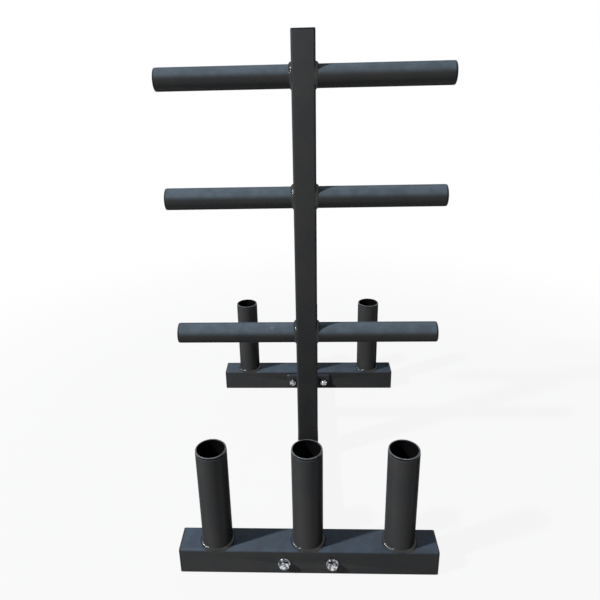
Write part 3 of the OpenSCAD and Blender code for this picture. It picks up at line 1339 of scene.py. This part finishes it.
@dataclass
class Bench:
    """Makes pieces: finishes them, rides them on their body and reports them. Angles are in degrees.

    Attributes:
        finishes: the finish of each slot.
        bead_coat_painted_dark: finish of the weld beads, the coat painted darker as shade.
        horn_coat: finish of the horns, with more painted sky sheen on their upper sides.
        bush_moulding_with_rim_highlight: finish of the bar holders' bushes, with a painted highlight on
            their rims.
        body: the body that carries every piece.
        crease: angle between two faces from which their edge stays sharp.
        level: angle up to which a solid's triangles lie in one face.
        bevel: angle between two faces from which a solid's edge is broken.
        bevel_segments: faces across a broken edge.
        made: number of pieces so far.
    """

    finishes: dict[Slot, Material]
    bead_coat_painted_dark: Material
    horn_coat: Material
    bush_moulding_with_rim_highlight: Material
    body: str = "root"
    crease: float = 26.0
    level: float = 0.5
    bevel: float = 40.0
    bevel_segments: int = 3
    made: int = 0

    def settle(self, piece: bpy.types.Object, node: str) -> None:
        """Ride the piece on its body, let it stand for its solid, and report it.

        Args:
            piece: the piece's object.
            node: the solid that it stands for.
        """
        bpy.context.scene.collection.objects.link(piece)
        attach(piece, self.body)
        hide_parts(node)
        self.made += 1
        LOG.info("%s stands for %s, %d faces", piece.name, node, len(piece.data.polygons))

    def make(
        self, name: str, shells: Sequence[Shell], node: str, slot: Slot, coat: Material | None = None
    ) -> None:
        """Make one piece of closed shells, with coincident points merged and faces turned outwards.

        Args:
            name: the piece's name.
            shells: its surfaces, in the frame's axes.
            node: the solid that it stands for.
            slot: the slot that its finish comes from.
            coat: a finish of its own in place of the slot's.
        """
        whole = joined(shells)
        mesh = bpy.data.meshes.new(name)
        mesh.from_pydata(whole.points.tolist(), [], whole.quads.tolist())
        form = bmesh.new()
        form.from_mesh(mesh)
        bmesh.ops.remove_doubles(form, verts=form.verts, dist=MERGE_DISTANCE)
        bmesh.ops.recalc_face_normals(form, faces=form.faces)
        form.to_mesh(mesh)
        form.free()
        mesh.shade_smooth()
        mesh.set_sharp_from_angle(angle=math.radians(self.crease))
        mesh.materials.append(coat or self.finishes[slot])
        self.settle(bpy.data.objects.new(name, mesh), node)

    def soften(self, name: str, solid: bpy.types.Object, slot: Slot, edge: float = 0.45 * MM) -> None:
        """Copy a solid, merge its loose triangles into flat faces, and break its edges.

        Args:
            name: the piece's name.
            solid: the solid that it is made from and stands for.
            slot: the slot that its finish comes from.
            edge: how far back from an edge its rounding starts.
        """
        form = bmesh.new()
        form.from_mesh(solid.data)
        bmesh.ops.remove_doubles(form, verts=form.verts, dist=MERGE_DISTANCE)
        level = math.radians(self.level)
        bmesh.ops.dissolve_limit(form, angle_limit=level, verts=form.verts, edges=form.edges)
        mesh = bpy.data.meshes.new(name)
        form.to_mesh(mesh)
        form.free()
        mesh.shade_smooth()
        mesh.materials.append(self.finishes[slot])
        piece = bpy.data.objects.new(name, mesh)
        bevel = piece.modifiers.new("edges", "BEVEL")
        bevel.width = edge
        bevel.segments = self.bevel_segments
        bevel.limit_method = "ANGLE"
        bevel.angle_limit = math.radians(self.bevel)
        bevel.harden_normals = True
        self.settle(piece, solid.name)

    def finish_solid(self, solid: bpy.types.Object, slot: Slot) -> None:
        """Give a solid that stays its finish.

        Args:
            solid: the solid.
            slot: the slot that its finish comes from.
        """
        for holder in solid.material_slots:
            holder.material = self.finishes[slot]
        LOG.info("%s keeps its solid", solid.name)


@dataclass
class MastGroup:
    """Mast, its plug and the bead at its foot."""

    section: SquareSection = MAST_SECTION
    weld: float = 5 * MM
    seed: int = 11

    def build(self, bench: Bench, nodes: dict[str, bpy.types.Object]) -> None:
        """Build the mast's pieces.

        Args:
            bench: where they are made.
            nodes: the solids by name.
        """
        section = self.section
        bench.soften("mast_tube", nodes["mast"], Slot.PAINT)
        low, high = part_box("mast")
        plug = SquarePlug(half=section.half, wall=section.wall, corner=section.corner)
        skin = Seat((0, 0, high.z)).place(plug.shell())
        bench.make("mast_plug", [skin], "mast_cap", Slot.PLASTIC)
        bead = Bead(leg=self.weld, half=section.half, corner=section.corner)
        foot = Seat((0, 0, low.z), across=(0, 1, 0), over=(-1, 0, 0))
        skin = foot.place(bead.shell(section.outline(), self.seed))
        bench.make("mast_foot_bead", [skin], "mast_foot_welds", Slot.PAINT, bench.bead_coat_painted_dark)


@dataclass
class HornGroup:
    """Three pairs of plate horns, with their plugs and root beads."""

    radius: float = 24.15 * MM
    wall: float = 3 * MM
    weld: float = 6 * MM
    lean: float = 0.55
    mast: SquareSection = MAST_SECTION
    seed: int = 20

    def seat(self, side: Side, height: float, distance: float) -> Seat:
        """Put zero on the horn's axis at a distance from the mast's middle, with Z along the horn."""
        way = float(side.value)
        return Seat((way * distance, 0, height), (0, 0, 1), (0, way, 0), (way, 0, 0))

    def build(self, bench: Bench) -> None:
        """Build each horn's tube and plug, and each pair's beads.

        Args:
            bench: where they are made.
        """
        bead = Bead(leg=self.weld, half=self.mast.half, corner=self.mast.corner, lean=self.lean)
        plug = RoundPlug(half=self.radius, wall=self.wall)
        for level in Level:
            beads = []
            for side in Side:
                node = f"{word(side)}_{word(level)}_horn"
                low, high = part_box(node)
                height = (low.z + high.z) / 2
                length = high.x - low.x
                root = self.seat(side, height, self.mast.half)
                tip = self.seat(side, height, self.mast.half + length)
                skin = root.place(RoundTube(self.radius, self.wall, length).shell())
                bench.make(f"{node}_tube", [skin], node, Slot.PAINT, bench.horn_coat)
                bench.make(f"{node}_plug", [tip.place(plug.shell())], f"{node}_cap", Slot.PLASTIC)
                seed = self.seed + 2 * level.value + side.value
                beads.append(root.place(bead.shell(circle(self.radius), seed)))
            pair = f"{word(level)}_horn"
            bench.make(f"{pair}_beads", beads, f"{pair}_welds", Slot.PAINT, bench.bead_coat_painted_dark)


@dataclass
class BaseGroup:
    """Base beam, crossbars with their plugs, and the flange plates between them."""

    crossbar: SquareSection = CROSSBAR_SECTION
    beam: SquareSection = BEAM_SECTION
    flange_edge: float = 0.8 * MM
    flange_weld: float = 4.5 * MM
    flange_crown: float = 0.6 * MM
    weld_turn: float = math.radians(6)
    seed: int = 40

    def build(self, bench: Bench, nodes: dict[str, bpy.types.Object]) -> None:
        """Build the base's pieces.

        Args:
            bench: where they are made.
            nodes: the solids by name.
        """
        bench.finish_solid(nodes["base_beam"], Slot.PAINT)
        for end in End:
            node = f"{word(end)}_crossbar"
            bench.soften(f"{node}_tube", nodes[node], Slot.PAINT)
            self.plug(bench, end)
            plate = nodes[f"{word(end)}_flange_plate"]
            bench.soften(f"{word(end)}_flange", plate, Slot.PAINT, self.flange_edge)
            self.weld(bench, end)

    def plug(self, bench: Bench, end: End) -> None:
        """Close both ends of a crossbar.

        Args:
            bench: where the plugs are made.
            end: the crossbar's end of the base.
        """
        bar = self.crossbar
        plug = SquarePlug(half=bar.half, wall=bar.wall, corner=bar.corner)
        low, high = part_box(f"{word(end)}_crossbar")
        middle = (low + high) / 2
        for side in Side:
            way = float(side.value)
            tip = high.x if side is Side.RIGHT else low.x
            seat = Seat((tip, middle.y, middle.z), (0, way, 0), (0, 0, 1), (way, 0, 0))
            name = f"{word(end)}_{word(side)}_crossbar"
            bench.make(f"{name}_plug", [seat.place(plug.shell())], f"{name}_cap", Slot.PLASTIC)

    def weld(self, bench: Bench, end: End) -> None:
        """Lay the beads between the base beam's sides and a flange plate.

        Args:
            bench: where the beads are made.
            end: the plate's end of the base.
        """
        low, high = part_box(f"{word(end)}_flange_plate")
        way = float(end.value)
        inner = low.y if end is End.REAR else high.y
        middle = (0, inner, (low.z + high.z) / 2)
        bead = Bead(leg=self.flange_weld, crown=self.flange_crown)
        line = self.beam.side(self.weld_turn)
        skins = []
        for number, turn in enumerate((1.0, -1.0)):
            seat = Seat(middle, (turn * way, 0, 0), (0, 0, turn), (0, -way, 0))
            seed = self.seed + 2 * end.value + number
            skins.append(seat.place(bead.shell(line, seed, closed=False)))
        node = f"{word(end)}_flange_weld"
        bench.make(f"{word(end)}_flange_beads", skins, node, Slot.PAINT, bench.bead_coat_painted_dark)


@dataclass
class HolderGroup:
    """Upright bar holders on both crossbars, with their bushes and base beads."""

    radius: float = 30.15 * MM
    wall: float = 2 * MM
    weld: float = 5 * MM
    crossbar: SquareSection = CROSSBAR_SECTION
    seed: int = 60

    def build(self, bench: Bench) -> None:
        """Build each holder's tube and bush, and lay each crossbar's beads.

        Args:
            bench: where they are made.
        """
        bead = Bead(leg=self.weld, half=self.crossbar.half, corner=self.crossbar.corner)
        for end in End:
            beads = []
            for row in Row:
                place = f"{word(end)}_{word(row)}"
                node = f"{place}_bar_holder"
                low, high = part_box(node)
                middle = (low + high) / 2
                foot = Seat((middle.x, middle.y, low.z))
                mouth = Seat((middle.x, middle.y, high.z))
                tube = RoundTube(self.radius, self.wall, high.z - low.z)
                bench.make(f"{node}_tube", [foot.place(tube.shell())], node, Slot.PAINT)
                liner = f"{place}_holder_liner"
                bush = mouth.place(Bush().shell())
                bench.make(f"{liner}_bush", [bush], liner, Slot.PLASTIC, bench.bush_moulding_with_rim_highlight)
                seed = self.seed + 5 * end.value + row.value
                beads.append(foot.place(bead.shell(circle(self.radius), seed)))
            bar = f"{word(end)}_holder"
            bench.make(f"{bar}_beads", beads, f"{bar}_welds", Slot.PAINT, bench.bead_coat_painted_dark)


@dataclass
class FastenerGroup:
    """Bolts through the crossbars and flange plates, with washers under the heads and nuts inside.

    Attributes:
        pitch: distance between an end's two bolts.
        head_turns: how far each bolt's head is turned, in degrees.
        nut_turns: how far each nut is turned, in degrees.
    """

    pitch: float = 95 * MM
    head_turns: tuple[float, float] = (12, 41)
    nut_turns: tuple[float, float] = (25, 52)

    def build(self, bench: Bench) -> None:
        """Build each end's bolts, washers and nuts.

        Args:
            bench: where they are made.
        """
        bolt, nut, washer = HexBolt(), HexNut(), Washer()
        for end in End:
            low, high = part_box(f"{word(end)}_washers")
            height = (low.z + high.z) / 2
            face = min(abs(low.y), abs(high.y))
            bearing = face + washer.thickness
            low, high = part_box(f"{word(end)}_nuts")
            inner = min(abs(low.y), abs(high.y))
            bolts = self.pair(end, bolt.shell(), bearing, height, self.head_turns)
            washers = self.pair(end, washer.shell(), face, height, (0, 0))
            nuts = self.pair(end, nut.shell(), inner, height, self.nut_turns)
            for kind, skins in (("bolts", bolts), ("washers", washers), ("nuts", nuts)):
                bench.make(f"{word(end)}_turned_{kind}", skins, f"{word(end)}_{kind}", Slot.ZINC)

    def pair(
        self, end: End, skin: Shell, distance: float, height: float, turns: tuple[float, float]
    ) -> list[Shell]:
        """Set a fastener on both of an end's bolt axes, with its Z pointing away from the mast.

        Args:
            end: the end of the base.
            skin: the fastener.
            distance: how far its zero lies from the mast's middle.
            height: height of the axes.
            turns: how far each of the two is turned about its axis, in degrees.

        Returns:
            The two placed fasteners.
        """
        way = float(end.value)
        placed = []
        for turn, offset in zip(turns, (-self.pitch / 2, self.pitch / 2)):
            c, s = math.cos(math.radians(turn)), math.sin(math.radians(turn))
            origin = (way * offset, way * distance, height)
            placed.append(Seat(origin, (way * c, 0, -s), (-way * s, 0, -c), (0, way, 0)).place(skin))
        return placed


@dataclass(frozen=True)
class Lamp:
    """Square soft lamp that shines on the stand's middle.

    Its azimuth is taken from the front towards the right and its elevation from the floor, in
    degrees.
    """

    name: str
    azimuth: float
    elevation: float
    width: float
    watts: float
    colour: Colour
    distance: float = 8.0

    def hang(self, target: Vector) -> None:
        """Put the lamp in the scene.

        Args:
            target: what it shines on.
        """
        turn, rise = math.radians(self.azimuth), math.radians(self.elevation)
        away = Vector((math.sin(turn) * math.cos(rise), -math.cos(turn) * math.cos(rise), math.sin(rise)))
        light = bpy.data.lights.new(self.name, "AREA")
        light.shape = "SQUARE"
        light.size = self.width
        light.energy = self.watts
        light.color = self.colour
        lamp = bpy.data.objects.new(self.name, light)
        lamp.location = target + away * self.distance
        lamp.rotation_euler = away.to_track_quat("Z", "Y").to_euler()
        lamp.visible_camera = False
        bpy.context.scene.collection.objects.link(lamp)


@dataclass
class Studio:
    """Pale floor, white surroundings and soft lamps.

    Attributes:
        target: what the lamps shine on.
        floor_rings: radii of the floor's rings.
        floor_drop: how far it lies under the stand.
        floor_colour: its colour as the light sees it.
        floor_white: how far the background's rays see it white under the stand.
        floor_fade: distances between which that grows to wholly white.
        fill: colour of the world's light.
        lamps: the lamps.
    """

    target: Point = (0.0, 0.0, 0.45)
    floor_rings: tuple[float, ...] = (0, 0.4, 0.8, 1.2, 1.8, 2.6, 4, 6, 9)
    floor_drop: float = 0.2 * MM
    floor_colour: Colour = (0.35, 0.35, 0.35)
    floor_white: float = 0.9
    floor_fade: Range = (0.7, 1.9)
    fill: Colour = (0.055, 0.054, 0.051)
    lamps: tuple[Lamp, ...] = (
        Lamp("key", azimuth=-65, elevation=38, width=0.4, watts=950, colour=(0.97, 0.99, 1.0)),
        Lamp("front", azimuth=0, elevation=35, width=4.2, watts=54, colour=(1.0, 0.92, 0.84)),
        Lamp("sky_behind", azimuth=180, elevation=44, width=5, watts=207, colour=(0.66, 0.82, 1.0)),
    )

    def background_rays(self, tree: bpy.types.NodeTree) -> Socket:
        """Mask the rays that see the background.

        Args:
            tree: the nodes of the floor or the world.

        Returns:
            One for a ray from the camera, a gloss or a glass, and zero for the light's own.
        """
        path = tree.nodes.new("ShaderNodeLightPath")
        seen = path.outputs["Is Camera Ray"]
        for ray in ("Is Glossy Ray", "Is Transmission Ray"):
            either = tree.nodes.new("ShaderNodeMath")
            either.operation = "MAXIMUM"
            tree.links.new(seen, either.inputs[0])
            tree.links.new(path.outputs[ray], either.inputs[1])
            seen = either.outputs[0]
        return seen

    def surround(self) -> None:
        """Make the world: a soft grey fill that the camera and the gloss see as white."""
        world = bpy.data.worlds.new("studio")
        bpy.context.scene.world = world
        world.use_nodes = True
        tree = world.node_tree
        tree.nodes.clear()
        mix = tree.nodes.new("ShaderNodeMixShader")
        tree.links.new(self.background_rays(tree), mix.inputs[0])
        for socket, colour in zip(mix.inputs[1:], (self.fill, (1.0, 1.0, 1.0))):
            light = tree.nodes.new("ShaderNodeBackground")
            light.inputs["Color"].default_value = (*colour, 1.0)
            tree.links.new(light.outputs[0], socket)
        output = tree.nodes.new("ShaderNodeOutputWorld")
        tree.links.new(mix.outputs[0], output.inputs["Surface"])

    def floor_finish(self) -> Material:
        """Make the floor's finish: pale and matt, and glowing white for the background's rays.

        Returns:
            The material.
        """
        board = Board("pale_floor")
        board.feed(board.shader.inputs["Base Color"], (*self.floor_colour, 1.0))
        board.feed(board.shader.inputs["Roughness"], 0.85)
        board.feed(board.shader.inputs["Specular IOR Level"], 0.1)
        away = board.add("ShaderNodeVectorMath", operation="LENGTH")
        board.feed(away.inputs[0], board.place)
        whitened = board.remap(away.outputs["Value"], self.floor_fade, (self.floor_white, 1.0))
        share = board.combine("MULTIPLY", whitened, self.background_rays(board.tree))
        glow = board.add("ShaderNodeEmission")
        mix = board.add("ShaderNodeMixShader")
        for socket, source in zip(mix.inputs, (share, board.shader.outputs[0], glow.outputs[0])):
            board.feed(socket, source)
        board.feed(board.tree.nodes["Material Output"].inputs["Surface"], mix.outputs[0])
        return board.material

    def lay_floor(self) -> None:
        """Make the floor: a disc of rings just under the stand, that fades to white away from it."""
        rings = np.array([(radius, -self.floor_drop) for radius in self.floor_rings])
        shell = revolved(rings, closed=False, turns=72)
        mesh = bpy.data.meshes.new("floor")
        mesh.from_pydata(shell.points.tolist(), [], shell.quads.tolist())
        mesh.validate()
        mesh.materials.append(self.floor_finish())
        floor = bpy.data.objects.new("floor", mesh)
        bpy.context.scene.collection.objects.link(floor)

    def build(self) -> None:
        """Set the surroundings, the floor and the lamps."""
        self.surround()
        self.lay_floor()
        for lamp in self.lamps:
            lamp.hang(Vector(self.target))


@dataclass(frozen=True)
class Viewpoint:
    """Camera as fitted to the photograph: place in metres, angles in degrees, the rest in pixels."""

    place: Point = (0.00949, -1.2240, 0.96746)
    yaw: float = -2.58
    pitch: float = 19.88
    roll: float = -1.46
    focal: float = 566.43
    centre: tuple[float, float] = (286.01, 264.72)
    frame: float = 600.0

    def build(self) -> None:
        """Set the camera, with its lens and shift worked out from the fitted focal length and centre."""
        yaw, pitch, roll = (math.radians(angle) for angle in (self.yaw, self.pitch, self.roll))
        flat = math.cos(pitch)
        forward = Vector((math.sin(yaw) * flat, math.cos(yaw) * flat, -math.sin(pitch)))
        level = Vector((math.cos(yaw), -math.sin(yaw), 0))
        upright = level.cross(forward)
        right = math.cos(roll) * level + math.sin(roll) * upright
        up = -math.sin(roll) * level + math.cos(roll) * upright
        data = bpy.data.cameras.new("viewpoint")
        data.sensor_width = 36.0
        data.lens = self.focal * data.sensor_width / self.frame
        data.shift_x = (self.frame / 2 - self.centre[0]) / self.frame
        data.shift_y = (self.centre[1] - self.frame / 2) / self.frame
        data.clip_start, data.clip_end = 0.05, 60.0
        camera = bpy.data.objects.new("viewpoint", data)
        rows = [[*row, place] for row, place in zip(zip(right, up, -forward), self.place)]
        camera.matrix_world = Matrix(rows + [[0, 0, 0, 1]])
        bpy.context.scene.collection.objects.link(camera)
        bpy.context.scene.camera = camera


def stocked_bench() -> Bench:
    """Make the finishes, and the bench that holds them.

    Returns:
        The bench.
    """
    # A light primer spot at the rear flange plate's upper-left corner: a painted highlight where that
    # corner glints, drawn as a chip.
    plate_corner_glint = Chip((-0.0615, 0.304, 0.0495), 1.5 * MM)
    horn_chip = Chip((-0.082, -0.0152, 0.3708), 1.2 * MM)
    # The beads' coat is the frame's coat painted darker: painted shade that keeps the beads as dark as
    # their shaded sides.
    bead_coat_painted_dark = PowderCoat(
        name="charcoal_coat_on_beads",
        warm=(0.016, 0.016, 0.016),
        cool=(0.013, 0.014, 0.015),
        specular=0.4,
        roughness=(0.12, 0.22),
        peel_depth=0.01 * MM,
        sky_sheen_and_dust_share=(0.0, 0.08),
    )
    # The horns take more of the blue-grey on their upper sides: partly dust, partly a painted sky
    # reflection.
    horn_coat = PowderCoat(
        name="charcoal_coat_on_horns",
        sky_sheen_and_dust=(0.098, 0.130, 0.165),
        sky_sheen_and_dust_share=(0.50, 0.70),
        chips=(horn_chip,),
    )
    # The bushes' rims are lightened on their roundings: partly scuffs, partly a painted highlight.
    bush_moulding_with_rim_highlight = MouldedPlastic(
        name="black_moulding_of_bushes",
        fresh=(0.004, 0.004, 0.0045),
        rubbed=(0.012, 0.012, 0.0125),
        scuffs_and_rim_highlight=(0.27, 0.285, 0.30),
        scuffs_and_highlight_on_top=0.2,
        specular=0.1,
        roughness=(0.18, 0.32),
    )
    finishes = {
        Slot.PAINT: PowderCoat(chips=(plate_corner_glint,)).build(),
        Slot.PLASTIC: MouldedPlastic().build(),
        Slot.ZINC: ZincPlate().build(),
    }
    return Bench(finishes, bead_coat_painted_dark.build(), horn_coat.build(), bush_moulding_with_rim_highlight.build())


def main() -> None:
    """Load the solids, dress them, set the studio, and log how many pieces were made."""
    logging.basicConfig(level=logging.INFO, format="%(name)s: %(message)s")
    for spare in list(bpy.data.objects):
        bpy.data.objects.remove(spare)
    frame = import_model()
    nodes = frame["nodes"]
    bpy.context.scene.view_settings.view_transform = "Standard"

    bench = stocked_bench()
    MastGroup().build(bench, nodes)
    HornGroup().build(bench)
    BaseGroup().build(bench, nodes)
    HolderGroup().build(bench)
    FastenerGroup().build(bench)
    Studio().build()
    Viewpoint().build()
    LOG.info("%d pieces made", bench.made)


if __name__ == "__main__":
    main()
